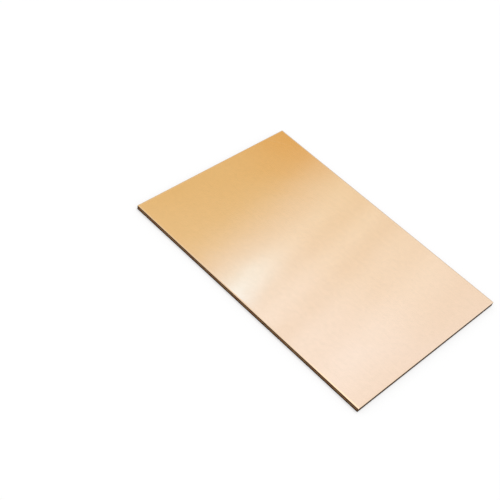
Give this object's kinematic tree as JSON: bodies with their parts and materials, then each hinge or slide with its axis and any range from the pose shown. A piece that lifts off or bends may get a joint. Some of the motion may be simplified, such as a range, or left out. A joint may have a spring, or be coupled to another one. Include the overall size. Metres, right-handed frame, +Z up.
{
  "type": "copper clad board",
  "caption": "Flat rectangular circuit board blank: brown resin bonded laminate with plain copper foil over its whole upper face, cut square and flush on all sides.",
  "frame": {"origin": "centre of the underside, on the surface that the board lies on", "axes": "+X along the long side, +Y along the short side, +Z up out of the copper face"},
  "size_m": [0.1, 0.07, 0.0016],
  "materials": {
    "laminate": "brown resin bonded paper laminate, satin on the pressed underside, matte and fibrous on the sheared edges",
    "copper": "satin rolled copper foil, bright, faintly warm-toned"
  },
  "bodies": {
    "root": {"laminate_core": "laminate", "copper_foil": "copper"}
  },
  "joints": []
}
